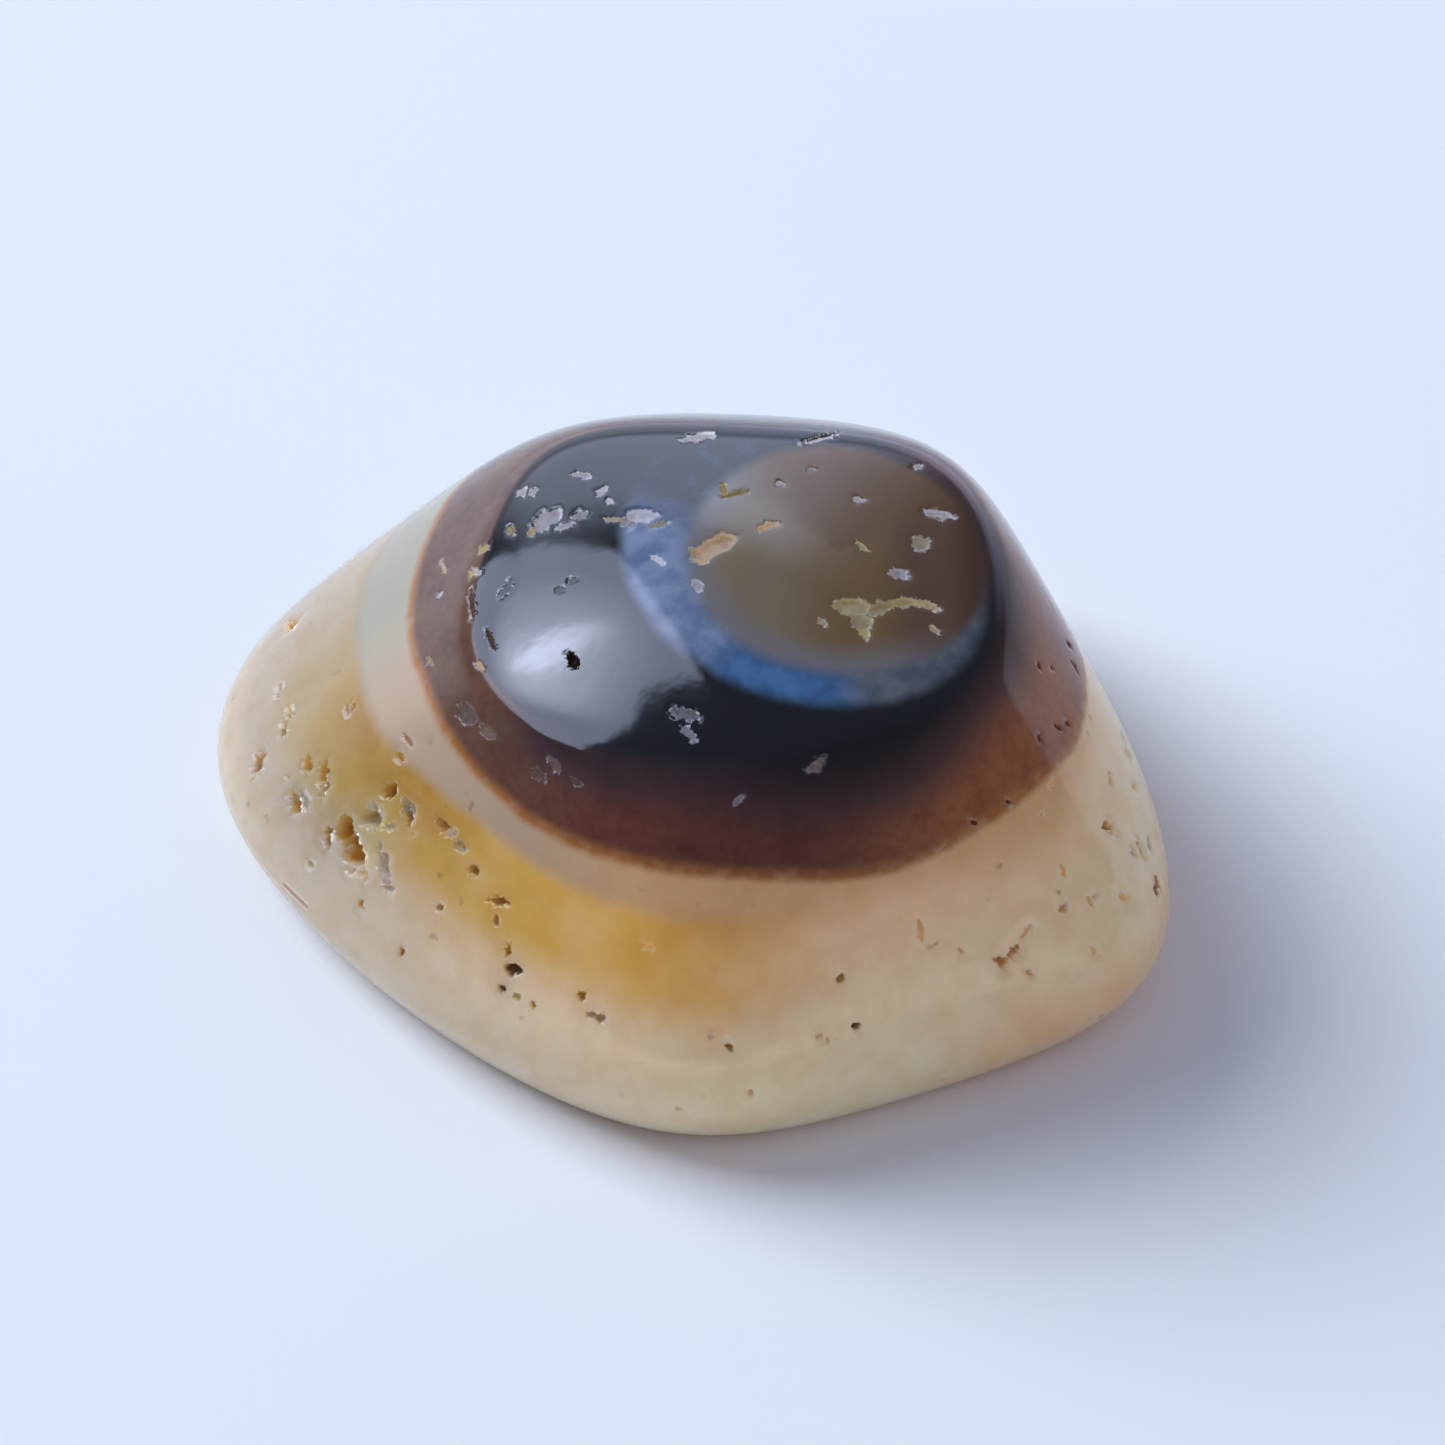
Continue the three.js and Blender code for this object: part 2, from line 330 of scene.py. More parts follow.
BACK_PITS = (
    (168, -5, 0.8, 0.45, 0.26, 50, GOLD),
    (157, -2, 0.6, 0.4, 0.22, 160, GREY),
    (149, -10, 0.9, 0.5, 0.3, 120, AMBER),
    (118, -4, 0.5, 0.4, 0.2, 0, GREY),
    (92, -10, 0.7, 0.35, 0.2, 30, GOLD),
    (61, -5, 0.55, 0.4, 0.22, 80, AMBER),
)
# Finer pits and chips, which are in this skin only.
FINE_PITS = (
    (-146, -1, 0.55, 0.16, 0.1, 48, GREY),
    (-140, -8, 0.38, 0.14, 0.1, 26, LILAC),
    (-163, -8, 0.26, 0.17, 0.1, 64, GREY),
    (180, -5, 0.62, 0.14, 0.06, 170, BROWN),
    (-166, -7, 0.16, 0.14, 0.1, 0, OLIVE),
    (-154, -12, 0.25, 0.15, 0.1, 12, OLIVE),
    (-130, -6, 0.24, 0.14, 0.1, 24, BROWN),
    (-119, -3, 0.3, 0.18, 0.1, 119, BROWN),
    (-111, -11, 0.24, 0.17, 0.08, 9, OLIVE),
    (-62, -11, 0.27, 0.12, 0.06, 161, CARAMEL),
    (-73, -16, 0.14, 0.14, 0.06, 0, CARAMEL),
    (-90, 3, 0.37, 0.14, 0.06, 0, CARAMEL),
    (-27, -5, 0.49, 0.1, 0.05, 22, CARAMEL),
    (-42, -1, 0.44, 0.12, 0.06, 67, CARAMEL),
    (0, -9, 0.5, 0.16, 0.08, 35, OLIVE),
    (-12, -7, 0.26, 0.15, 0.1, 117, CARAMEL),
    (2, 0, 0.77, 0.1, 0.05, 176, CARAMEL),
    (-18, 0, 0.23, 0.12, 0.05, 23, CARAMEL),
    (-21, -4, 0.27, 0.12, 0.06, 5, CARAMEL),
    (-16, -5, 0.37, 0.12, 0.06, 177, CARAMEL),
    (-16, 8, 0.14, 0.12, 0.06, 0, CARAMEL),
    (-154, 11, 0.46, 0.15, 0.08, 7, BROWN),
    (-153, 8, 0.37, 0.18, 0.1, 10, GOLD),
    (-168, 5, 0.24, 0.14, 0.08, 143, BROWN),
    (-154, -17, 1.3, 0.09, 0.03, 7, RUST),
    (-150, -1, 0.75, 0.4, 0.1, 18, GREY),
    (-145, 3, 0.65, 0.38, 0.1, 165, GREY),
    (-142, -7, 0.62, 0.32, 0.08, 159, LILAC),
    (-135, 5, 0.42, 0.26, 0.1, 4, GREY),
    (-132, 4, 0.39, 0.26, 0.1, 8, GREY),
    (-165, -4, 0.55, 0.26, 0.08, 5, GOLD),
    (-161, -7, 0.62, 0.3, 0.08, 175, GREY),
    (-171, -9, 0.76, 0.16, 0.05, 8, BROWN),
    (-176, -4, 0.47, 0.14, 0.05, 42, OLIVE),
    (-173, -5, 0.71, 0.14, 0.05, 9, BROWN),
    (-168, 4, 0.36, 0.11, 0.04, 1, BROWN),
    (-11, 10, 0.19, 0.14, 0.06, 60, CARAMEL),
    (2, 0, 0.5, 0.17, 0.05, 16, CARAMEL),
    (13, -6, 0.34, 0.18, 0.06, 17, CARAMEL),
    (16, -6, 0.32, 0.12, 0.05, 172, CARAMEL),
    (7, -6, 0.31, 0.3, 0.06, 33, CARAMEL),
    (0, -9, 0.39, 0.25, 0.08, 37, CARAMEL),
    (-4, -11, 0.5, 0.21, 0.08, 77, RUST),
    (-12, -7, 0.39, 0.15, 0.06, 109, CARAMEL),
    (-18, 0, 0.37, 0.13, 0.05, 81, CARAMEL),
    (-42, 0, 0.43, 0.14, 0.05, 79, CARAMEL),
    (-21, -4, 0.3, 0.12, 0.05, 105, CARAMEL),
    (-17, -5, 0.37, 0.13, 0.05, 92, CARAMEL),
    (-37, -5, 0.22, 0.1, 0.05, 113, CARAMEL),
    (-20, -10, 0.27, 0.14, 0.05, 99, CARAMEL),
    (-29, -10, 0.24, 0.11, 0.05, 126, CARAMEL),
)
FINE_CHIPS = (
    (144, 82, 0.38, 0.2, 0.05, 94, TAN),
    (92, 64, 0.8, 0.16, 0.03, 34, OLIVE),
    (98, 63, 0.5, 0.16, 0.03, 103, OLIVE),
    (75, 57, 0.24, 0.18, 0.05, 19, WHITE_FROST_AND_GLINT),
    (70, 50, 0.22, 0.18, 0.05, 25, WHITE_FROST_AND_GLINT),
    (53, 36, 0.22, 0.2, 0.05, 48, WHITE_FROST_AND_GLINT),
    (51, 49, 0.26, 0.2, 0.05, 28, WHITE_FROST_AND_GLINT),
    (29, 43, 0.46, 0.44, 0.04, 39, GREY),
    (30, 54, 0.44, 0.12, 0.03, 20, TAN),
    (-2, 41, 0.3, 0.18, 0.04, 62, TAN),
    (-19, 60, 0.31, 0.16, 0.03, 78, GREY),
    (177, 75, 0.5, 0.16, 0.04, 62, WHITE_FROST_AND_GLINT),
    (-121, 83, 0.42, 0.22, 0.04, 160, WHITE_FROST_AND_GLINT),
    (157, 40, 0.26, 0.24, 0.05, 101, WHITE_FROST_AND_GLINT),
    (156, 42, 0.26, 0.22, 0.05, 137, WHITE_FROST_AND_GLINT),
    (145, 47, 0.5, 0.18, 0.05, 119, WHITE_FROST_AND_GLINT),
    (146, 53, 0.38, 0.22, 0.05, 17, WHITE_FROST_AND_GLINT),
    (148, 56, 0.2, 0.2, 0.05, 125, WHITE_FROST_AND_GLINT),
    (165, 51, 0.44, 0.2, 0.05, 128, WHITE_FROST_AND_GLINT),
    (169, 45, 0.3, 0.24, 0.05, 138, GREY),
    (159, 53, 0.36, 0.26, 0.05, 137, WHITE_FROST_AND_GLINT),
    (148, 65, 0.38, 0.18, 0.05, 118, WHITE_FROST_AND_GLINT),
    (155, 60, 0.5, 0.16, 0.03, 118, GREY),
    (144, 69, 0.5, 0.2, 0.04, 156, GREY),
    (169, 41, 0.26, 0.26, 0.06, 114, GREY),
    (174, 36, 0.34, 0.26, 0.06, 111, TAN),
    (180, 34, 0.26, 0.26, 0.08, 89, TAN),
    (-179, 26, 0.22, 0.2, 0.06, 62, WHITE_FROST_AND_GLINT),
    (-172, 41, 0.6, 0.16, 0.04, 142, SMOKE),
    (-167, 52, 0.26, 0.2, 0.04, 59, SMOKE),
    (-170, 55, 0.2, 0.16, 0.04, 58, SMOKE),
    (-88, 48, 0.66, 0.26, 0.05, 167, FLINT),
    (-86, 44, 0.5, 0.2, 0.05, 140, FLINT),
    (-158, 36, 0.77, 0.12, 0.03, 6, MAROON),
    (-171, 34, 0.97, 0.14, 0.03, 5, MAROON),
    (-147, 24, 0.8, 0.4, 0.05, 13, DUSK),
    (-139, 25, 0.55, 0.26, 0.05, 10, DUSK),
    (-122, 25, 0.44, 0.24, 0.05, 179, DUSK),
    (-112, 28, 0.31, 0.17, 0.04, 169, DUSK),
    (-153, 32, 0.35, 0.16, 0.04, 18, PEACH),
    (180, 35, 0.4, 0.16, 0.05, 45, WHITE_FROST_AND_GLINT),
    (7, 20, 0.18, 0.2, 0.05, 79, MAROON),
    (10, 16, 0.18, 0.16, 0.05, 78, MAROON),
    (18, 8, 0.3, 0.17, 0.05, 87, MAROON),
    (23, 8, 0.21, 0.3, 0.05, 45, MAROON),
    (2, 11, 0.27, 0.15, 0.05, 112, MAROON),
    (-1, 13, 0.34, 0.12, 0.05, 118, MAROON),
    (-7, 16, 0.21, 0.14, 0.04, 75, MAROON),
    (-20, 13, 0.19, 0.1, 0.04, 114, MAROON),
    (-27, 13, 0.21, 0.11, 0.04, 135, MAROON),
    (-73, 31, 0.38, 0.18, 0.06, 43, WHITE_FROST_AND_GLINT),
    (-119, 29, 0.44, 0.2, 0.06, 167, DUSK),
    (174, 26, 0.7, 0.12, 0.04, 33, GREY),
    (-164, 22, 0.44, 0.14, 0.05, 20, GREY),
    (107, 48, 0.9, 0.26, 0.05, 11, WHITE_FROST_AND_GLINT),
    (75, 42, 1.0, 0.2, 0.05, 62, WHITE_FROST_AND_GLINT),
    (75, 41, 1.3, 0.08, 0.05, 63, DARK),
)
PITS = HONEY_PITS + FRONT_PITS + RIGHT_PITS + TOP_CHIPS + BACK_PITS + FINE_PITS + FINE_CHIPS


def pit_frame(pit):
    """A pit's middle on the skin, and its long, wide and outward directions."""
    middle = on_skin(heading(pit[0], pit[1])[None])
    outward = skin_normals(middle)[0]
    level = heading(pit[0] + 90, 0)
    level = level - outward * (level @ outward)
    level /= np.linalg.norm(level)
    upslope = np.cross(outward, level)
    turn = math.radians(pit[5])
    along = level * math.cos(turn) + upslope * math.sin(turn)
    return middle[0], along, np.cross(outward, along), outward


PIT_FRAMES = [pit_frame(pit) for pit in PITS]


def pit_distance(points, number, margin=0.0):
    """How far points are from a pit's middle, 1 at its plain oval edge, and their places in it. Points
    on the stone's other side are put out of the way."""
    middle, along, across, outward = PIT_FRAMES[number]
    length, width = PITS[number][2:4]
    offset = points - middle
    u = offset @ along / (length / 2 + margin)
    w = offset @ across / (width / 2 + margin)
    far = np.abs(offset @ outward) > FAR_THROUGH
    return np.where(far, np.inf, np.hypot(u, w)), u, w


def skin_mesh():
    """The stone's skin as a fine ball with its corners moved out, closer around the pits."""
    bm = bmesh.new()
    bmesh.ops.create_icosphere(bm, subdivisions=BALL_SUBDIVISIONS, radius=1)
    for margin in PIT_MARGINS + (None,):
        points = on_skin(np.array([v.co[:] for v in bm.verts]))
        for vertex, point in zip(bm.verts, points):
            vertex.co = point
        if margin is None:
            break
        near = np.zeros(len(points), bool)
        for number, pit in enumerate(PITS):
            reach = DEEP_PIT_REACH if pit[4] > CHIP_DEPTH else 1
            near |= pit_distance(points, number, margin)[0] < reach
        edges = [e for e in bm.edges if near[e.verts[0].index] and near[e.verts[1].index]]
        bmesh.ops.subdivide_edges(bm, edges=edges, cuts=1, use_grid_fill=True)
        wide = [f for f in bm.faces if len(f.verts) > 3]
        bmesh.ops.triangulate(bm, faces=wide)
        bm.verts.index_update()
    return bm


def smooth_step(value):
    value = np.clip(value, 0, 1)
    return value * value * (3 - 2 * value)


def sink_pits(bm):
    """Sinks each pit with an uneven rim and floor, and returns each corner's lining and its strength."""
    points = np.array([v.co[:] for v in bm.verts])
    normals = skin_normals(points)
    sunk = np.zeros(len(points))
    lining = np.ones((len(points), 4))
    strength = np.zeros(len(points))
    for number, pit in enumerate(PITS):
        distance, u, w = pit_distance(points, number)
        colour = np.array(linear(pit[6]))
        ragged, rim = PIT_EDGE if pit[4] > CHIP_DEPTH else CHIP_EDGE
        tone = noise.noise(Vector((TONE_ACROSS, TONE_STEP * number, TONE_UP)))
        colour = colour * (1 + LINING_VARIES * tone)
        for i in np.nonzero(distance < PIT_REACH)[0]:
            place = Vector((u[i] * pit[2] / pit[3], w[i], SHAPE_STEP * number))
            lobes = sum(size * noise.noise(place * waves) for size, waves in LOBES)
            share = smooth_step((RIM_STARTS - distance[i] - lobes * ragged) / rim)
            uneven = 1 + UNEVEN[0] * ragged * noise.noise(place * UNEVEN[1])
            sunk[i] = max(sunk[i], pit[4] * share * uneven)
            if share > strength[i]:
                strength[i] = share
                # The lining darkens towards a pit's floor: partly clay in the hollow, partly painted shade.
                dark = share * (CLAY_AND_SHADE[0] + CLAY_AND_SHADE[1] * noise.noise(place * CLAY_AND_SHADE[2]))
                lining[i] = colour * (LINING_EDGE - CLAY_AND_SHADE_LOSS * ragged * max(dark, 0))
                lining[i][3] = 1
    points -= normals * sunk[:, None]
    for vertex, point in zip(bm.verts, points):
        vertex.co = point
    return lining, strength


def make_stone():
    bm = skin_mesh()
    sides, dome = sides_and_dome(np.array([v.co[:] for v in bm.verts]))
    lining, strength = sink_pits(bm)
    low = Vector([min(v.co[i] for v in bm.verts) for i in range(3)])
    high = Vector([max(v.co[i] for v in bm.verts) for i in range(3)])
    middle = (low + high) / 2
    bmesh.ops.translate(bm, verts=bm.verts, vec=(-middle.x, -middle.y, -low.z))
    bmesh.ops.scale(bm, verts=bm.verts, vec=(MM, MM, MM))
    for one in bm.faces:
        one.smooth = True
    mesh = bpy.data.meshes.new("stone")
    bm.to_mesh(mesh)
    bm.free()
    mesh.attributes.new("lining", "FLOAT_COLOR", "POINT").data.foreach_set("color", lining.ravel())
    mesh.attributes.new("pit", "FLOAT", "POINT").data.foreach_set("value", strength)
    mesh.attributes.new("ridge", "FLOAT", "POINT").data.foreach_set("value", (dome - sides) * RIDGE_REACH)
    stone = bpy.data.objects.new("stone", mesh)
    bpy.context.scene.collection.objects.link(stone)
    return stone


# The stone's material


def add(tree, kind, inputs=None, output=0, **settings):
    """Adds a node, gives it its settings and inputs, and returns one of its outputs."""
    node = tree.nodes.new(kind)
    for name, value in settings.items():
        setattr(node, name, value)
    for name, value in (inputs or {}).items():
        if isinstance(value, bpy.types.NodeSocket):
            tree.links.new(value, node.inputs[name])
        else:
            node.inputs[name].default_value = value
    return node.outputs[output]


def new_material(name):
    material = bpy.data.materials.new(name)
    material.use_nodes = True
    tree = material.node_tree
    return material, tree, tree.nodes["Principled BSDF"]


def span(tree, value, start, end, low=0.0, high=1.0):
    """Goes softly from low to high between two values."""
    limits = {0: value, 1: start, 2: end, 3: low, 4: high}
    return add(tree, "ShaderNodeMapRange", limits, interpolation_type="SMOOTHSTEP")


def times(tree, one, other):
    return add(tree, "ShaderNodeMath", {0: one, 1: other}, operation="MULTIPLY")


def dot_product(tree, one, other):
    ways = {0: one, 1: tuple(other)}
    return add(tree, "ShaderNodeVectorMath", ways, output=1, operation="DOT_PRODUCT")


def over(tree, below, above, share):
    """One colour laid over another by a share."""
    return add(tree, "ShaderNodeMix", {0: share, 6: below, 7: above}, output=2, data_type="RGBA")


def cloud(tree, place, scale, detail):
    """A cloudy value about 0.5, with this many clouds to a millimetre."""
    return add(tree, "ShaderNodeTexNoise", {"Vector": place, "Scale": scale, "Detail": detail})


# The detail of the noise that bends places, and the value that it varies about.
DRIFT_DETAIL = 2.0
DRIFT_MIDDLE = (0.5, 0.5, 0.5)


def shift(tree, place, scale, reach):
    """A soft random shift of up to about a third of the reach, in mm, changing over 1 / scale mm."""
    waves = {"Vector": place, "Scale": scale, "Detail": DRIFT_DETAIL}
    drift = add(tree, "ShaderNodeTexNoise", waves, output=1)
    drift = add(tree, "ShaderNodeVectorMath", {0: drift, 1: DRIFT_MIDDLE}, operation="SUBTRACT")
    return add(tree, "ShaderNodeVectorMath", {0: drift, "Scale": reach}, operation="SCALE")


# Where each ring of the eye ends: its middle, its half-axes and its turn, in mm and degrees.
IRIS_RING = ((3.31, 0.44, 10), (3.45, 3.74, 9), -10)
BLUE_RING = ((2.57, 0.12, 10), (3.96, 4.63, 9), 44)
BLACK_RING = ((1.3, -0.6, 10), (6.3, 5.7, 9), -6)
CAP_RING = ((1.57, 0.86, 10), (8.77, 8.49, 9), 68)
RIM_RING = ((1.57, 0.86, 10), (8.89, 8.61, 9.1), 68)
# How far outside its line each begins to come in, and how far inside it is full, in mm. A plum shade
# lies around the black, and the iris has a halo just inside its line.
IRIS_SOFTNESS = (0.18, 0.3)
HALO_SOFTNESS = (0.1, 1.3)
BLUE_SOFTNESS = (0.15, 0.25)
BLACK_SOFTNESS = (0.5, 0.6)
PLUM_SOFTNESS = (1.0, 0.0)
CAP_SOFTNESS = (0.12, 0.2)
RIM_SOFTNESS = (0.12, 0.08)
# The iris changes its colour along the camera's rightward direction, between these distances.
IRIS_REDDENS = (1.6, 3.6)
IRIS_TURNS_MAUVE = (4.0, 5.2)
IRIS_DARKENS = (5.7, 6.5)

# Distances from the ridge around the top, in mm, positive on the top and negative on the slopes. They
# give where the black begins crisply, the thin line on the ridge, the paler strip along it, which is a
# painted sheen of the room reflected on the rounded ridge, where the blue and the iris may lie, and the
# slopes.
CRISP_BLACK = (-0.06, 0.08)
LINE_STARTS = (-0.1, -0.02)
LINE_ENDS = (0.09, 0.01)
SHEEN_STARTS = (-0.4, -0.2)
SHEEN_ENDS = (0.05, -0.1)
TOP_STARTS = (-0.1, 0.12)
SLOPE_STARTS = (0.0, -0.3)

# Below the cap the bands lie level. Honey comes in between the first two heights and goes out
# between the next two, where the pale band comes in.
HONEY_STARTS = (3.2, 4.7)
HONEY_ENDS = (5.7, 6.2)
# Its deeper top begins higher, and the pale band begins lower where it comes in gradually.
DEEP_STARTS = (4.7, 5.5)
PALE_STARTS = (5.7, 6.15)
FADE_STARTS = (4.9, 6.4)
# The foot lies below these heights.
FOOT_ENDS = (3.6, 1.6)
# The cream turns from grey, painted darker towards the lamp, to milky, a painted glow away from it, along
# this bearing, between these distances from the middle.
PAINTED_GLOW_BEARING = -30
PAINTED_GLOW_SPAN = (-6.5, 7.0)

# The point that the stone's sides and the room's are seen from.
STONE_MIDDLE = (0, 0, 0)
# Sides, each as a bearing and the cosines to either side of it between which it comes in. On the
# slopes: where the foot is milky and where it has a painted, warmer glow of light passing through the
# stone, where the honey is strong and where it is deep, and where the pale band is pinkish, is greyer
# and comes in gradually.
FOOT_SIDE = (-140, 0.3, 0.9)
PAINTED_GLOW_FOOT_SIDE = (-12, 0.8, 0.96)
HONEY_SIDE = (-120, 0.3, 0.9)
DEEP_SIDE = (-142, 0.9, 0.985)
PINK_SIDE = (-165, 0.1, 0.75)
GREY_SIDE = (165, 0.75, 0.98)
FADE_SIDE = (-30, 0.5, 0.85)
# On the cap: where its brown is bright, dull and mauve, where its edge is worn, so that its brown is a
# middle shade and its black grey, where the black ends crisply, and where the painted sheen of the room
# follows the ridge.
BRIGHT_SIDE = (-10, 0.45, 0.9)
DULL_BROWN_SIDE = (-165, 0.45, 0.9)
MAUVE_SIDE = (105, 0.55, 0.9)
WORN_SIDE = (28, 0.8, 0.98)
CRISP_SIDE = (145, -0.1, 0.25)
SHEEN_SIDE = (45, 0.5, 0.85)
# On the blue ring and the iris.
BLUE_DARK_SIDE = (130, 0.4, 0.75)
BLUE_LIGHT_SIDE = (215, 0.55, 0.9)
BLUE_DEEP_SIDE = (273, 0.86, 0.98)
# Where the iris is painted darker against the back wall's reflection: painted shade.
IRIS_PAINTED_SHADE_SIDE = (100, 0.5, 0.95)
HALO_SIDE = (-130, -0.3, 0.5)
# The slope that faces this way is polished less, so that like the pits it reflects little.
UNPOLISHED_SIDE = (4, 0.88, 0.98)

# Patches, each as its clouds to a millimetre, their detail and the values of the cloud between which it
# comes in, then its least and its full strength where they aren't 0 and 1.
SLOPE_PATCHES = (1.3, 5.0, 0.4, 0.65)
HONEY_PATCHES = (0.6, 4.0, 0.2, 0.6, 0.6, 1.0)
DEEP_PATCHES = (1.1, 3.0, 0.3, 0.6, 0.3, 1.0)
RIM_PATCHES = (2.5, 3.0, 0.3, 0.6, 0.65, 1.0)
BROWN_GRAIN = (4.5, 4.0, 0.35, 0.7)
BROWN_PATCHES = (1.0, 4.0, 0.45, 0.7)
# The blue ring has one cloud, for its own patches and for the faint ones on its dark side.
BLUE_CLOUD = (1.7, 4.0)
BLUE_PATCHES = (0.35, 0.65)
FAINT_PATCHES = (0.5, 0.8, 0.0, 0.5)

# The least strength of the honey away from its side, and how strongly some layers lie over the rest.
HONEY_LEAST = 0.1
FOOT_SHARE = 0.6
PLUM_SHARE = 0.75
WORN_SHARE = 0.8
LINE_SHARE = 0.8
SHEEN_SHARE = 0.6
LINING_SHARE = 0.8
SPECK_SHARE = 0.55

# The bands waver: how many waves to a millimetre, and their reach in mm.
BAND_WAVES = ((0.22, 0.5), (1.6, 0.1))
# The specks: how their places waver, their cells to a millimetre, the distances from a cell's middle
# and the cell's random values between which one comes in, and the heights between which they end.
SPECK_WAVES = (3.0, 0.5)
SPECK_CELLS = 1.6
SPECK_SIZE = (0.22, 0.04)
SPECK_PICKED = (0.7, 0.9)
SPECK_ENDS = (7.2, 6.0)

# How deep into a pit, from 0 to 1, its lining's colour is full, and where it starts and ends to turn
# matt. Each first value is for the chips of the dark top, whose colour comes before the gloss ends, so
# that they have no dark outline. Each second one is for the slopes.
LINING_FULL = (0.35, 0.8)
MATT_STARTS = (0.25, 0.0)
MATT_FULL = (0.8, 0.5)
# The roughness and the gloss of the polish and of what is matt.
ROUGHNESS_LEVELS = (0.07, 0.6)
GLOSS_LEVELS = (0.44, 0.12)
AGATE_IOR = 1.54
# How far red, green and blue light go in the stone, as parts of the depth in mm.
LIGHT_REACH = (1.0, 0.72, 0.45)
LIGHT_DEPTH = 5.0
# Soft swells in the polish and a finer grain on the slopes: clouds to a millimetre and their detail,
# the grain's share, then the strength and the height in mm of both.
SWELLS = (0.9, 3.0)
SLOPE_GRAIN = (6.0, 3.0)
GRAIN_SHARE = 0.3
BUMP_STRENGTH = 0.25
BUMP_HEIGHT = 0.02


def ring(tree, bent, shape, outside, inside):
    """1 inside a ring and 0 outside it, changing from so far outside its line to so far inside, in mm."""
    middle, half, turn = shape
    turned = (0, 0, math.radians(turn))
    spot = {"Vector": bent, "Location": middle, "Rotation": turned, "Scale": half}
    mapped = add(tree, "ShaderNodeMapping", spot, vector_type="TEXTURE")
    level = add(tree, "ShaderNodeVectorMath", {0: mapped}, output=1, operation="LENGTH")
    return span(tree, level, 1 + outside / half[0], 1 - inside / half[0])


def towards(tree, place, middle, bearing, start, end):
    """How far points lie to one bearing of a middle, from 0 to 1 between two cosines."""
    aside = add(tree, "ShaderNodeVectorMath", {0: place, 1: middle}, operation="SUBTRACT")
    aside = add(tree, "ShaderNodeVectorMath", {0: aside, 1: (1, 1, 0)}, operation="MULTIPLY")
    aside = add(tree, "ShaderNodeVectorMath", {0: aside}, operation="NORMALIZE")
    return along(tree, aside, heading(bearing, 0), start, end)


def along(tree, place, way, start, end):
    """0 to 1 between two distances along a direction."""
    return span(tree, dot_product(tree, place, way), start, end)


def between(tree, value, starts, ends):
    """1 in the middle of a range, coming in between two values and going out between two others."""
    return times(tree, span(tree, value, *starts), span(tree, value, *ends))


def patches(tree, place, scale, detail, *levels):
    """Patches where a cloud is high."""
    return span(tree, cloud(tree, place, scale, detail), *levels)


def blend(tree, one, other, share):
    """One value turning into another by a share."""
    return add(tree, "ShaderNodeMix", {0: share, 2: one, 3: other}, data_type="FLOAT")


def tinted(tree, below, tint, share):
    """A colour with a see-through tint over it, by a share."""
    layers = {0: share, 6: below, 7: tint}
    return add(tree, "ShaderNodeMix", layers, output=2, data_type="RGBA", blend_type="MULTIPLY")


def split(tree, place):
    parts = tree.nodes.new("ShaderNodeSeparateXYZ")
    tree.links.new(place, parts.inputs[0])
    return parts.outputs


def corner_value(tree, name):
    """One of the skin's own values, given at each corner of its mesh."""
    return add(tree, "ShaderNodeAttribute", output=2, attribute_name=name)


def cream_body(tree, place, height):
    """The cream: grey and painted darker towards the lamp, turning to milky with a painted glow away from
    it, with a lighter foot, a painted glow that makes the right end's foot warmer, and cloudy patches.
    """
    # Painted light: darker towards the lamp and brighter away from it, standing in for light through the
    # stone.
    milky = along(tree, place, heading(PAINTED_GLOW_BEARING, 0), *PAINTED_GLOW_SPAN)
    colour = over(tree, linear(CREAM_PAINTED_DARK), linear(CREAM_PAINTED_GLOW), milky)
    low = span(tree, height, *FOOT_ENDS)
    foot = times(tree, towards(tree, place, STONE_MIDDLE, *FOOT_SIDE), low)
    colour = over(tree, colour, linear(CREAM_FOOT), times(tree, foot, FOOT_SHARE))
    # A painted glow on the right end's foot, making it warmer, for light passing through the stone.
    painted_glow_foot = times(tree, towards(tree, place, STONE_MIDDLE, *PAINTED_GLOW_FOOT_SIDE), low)
    colour = tinted(tree, colour, linear(PAINTED_GLOW_FOOT_TINT), painted_glow_foot)
    return tinted(tree, colour, linear(SLOPE_MOTTLE), patches(tree, place, *SLOPE_PATCHES))


def honey_band(tree, place, height, below):
    """Honey, strongest on one side, with a deeper top."""
    honey = between(tree, height, HONEY_STARTS, HONEY_ENDS[::-1])
    facing = towards(tree, place, STONE_MIDDLE, *HONEY_SIDE)
    honey = times(tree, honey, span(tree, facing, 0.0, 1.0, HONEY_LEAST, 1.0))
    honey = times(tree, honey, patches(tree, place, *HONEY_PATCHES))
    colour = tinted(tree, below, linear(HONEY_TINT), honey)
    deep = between(tree, height, DEEP_STARTS, HONEY_ENDS[::-1])
    deep = times(tree, deep, towards(tree, place, STONE_MIDDLE, *DEEP_SIDE))
    deep = times(tree, deep, patches(tree, place, *DEEP_PATCHES))
    return tinted(tree, colour, linear(HONEY_DEEP), deep)


def pale_band(tree, place, height, below):
    """The pale band under the cap, pinkish on one side and coming in gradually on another."""
    fade = towards(tree, place, STONE_MIDDLE, *FADE_SIDE)
    pale = blend(tree, span(tree, height, *PALE_STARTS), span(tree, height, *FADE_STARTS), fade)
    colour = tinted(tree, below, linear(PALE_TINT), pale)
    greyer = towards(tree, place, STONE_MIDDLE, *GREY_SIDE)
    tone = over(tree, linear(PALE_PINK), linear(PALE_GREY), greyer)
    pinkish = times(tree, pale, towards(tree, place, STONE_MIDDLE, *PINK_SIDE))
    return over(tree, colour, tone, pinkish)


def slope_bands(tree, place, bent):
    """The sides' level bands: cream at the foot, honey above it, and a pale band under the cap."""
    height = split(tree, bent)[2]
    colour = cream_body(tree, place, height)
    colour = honey_band(tree, place, height, colour)
    return pale_band(tree, place, height, colour)


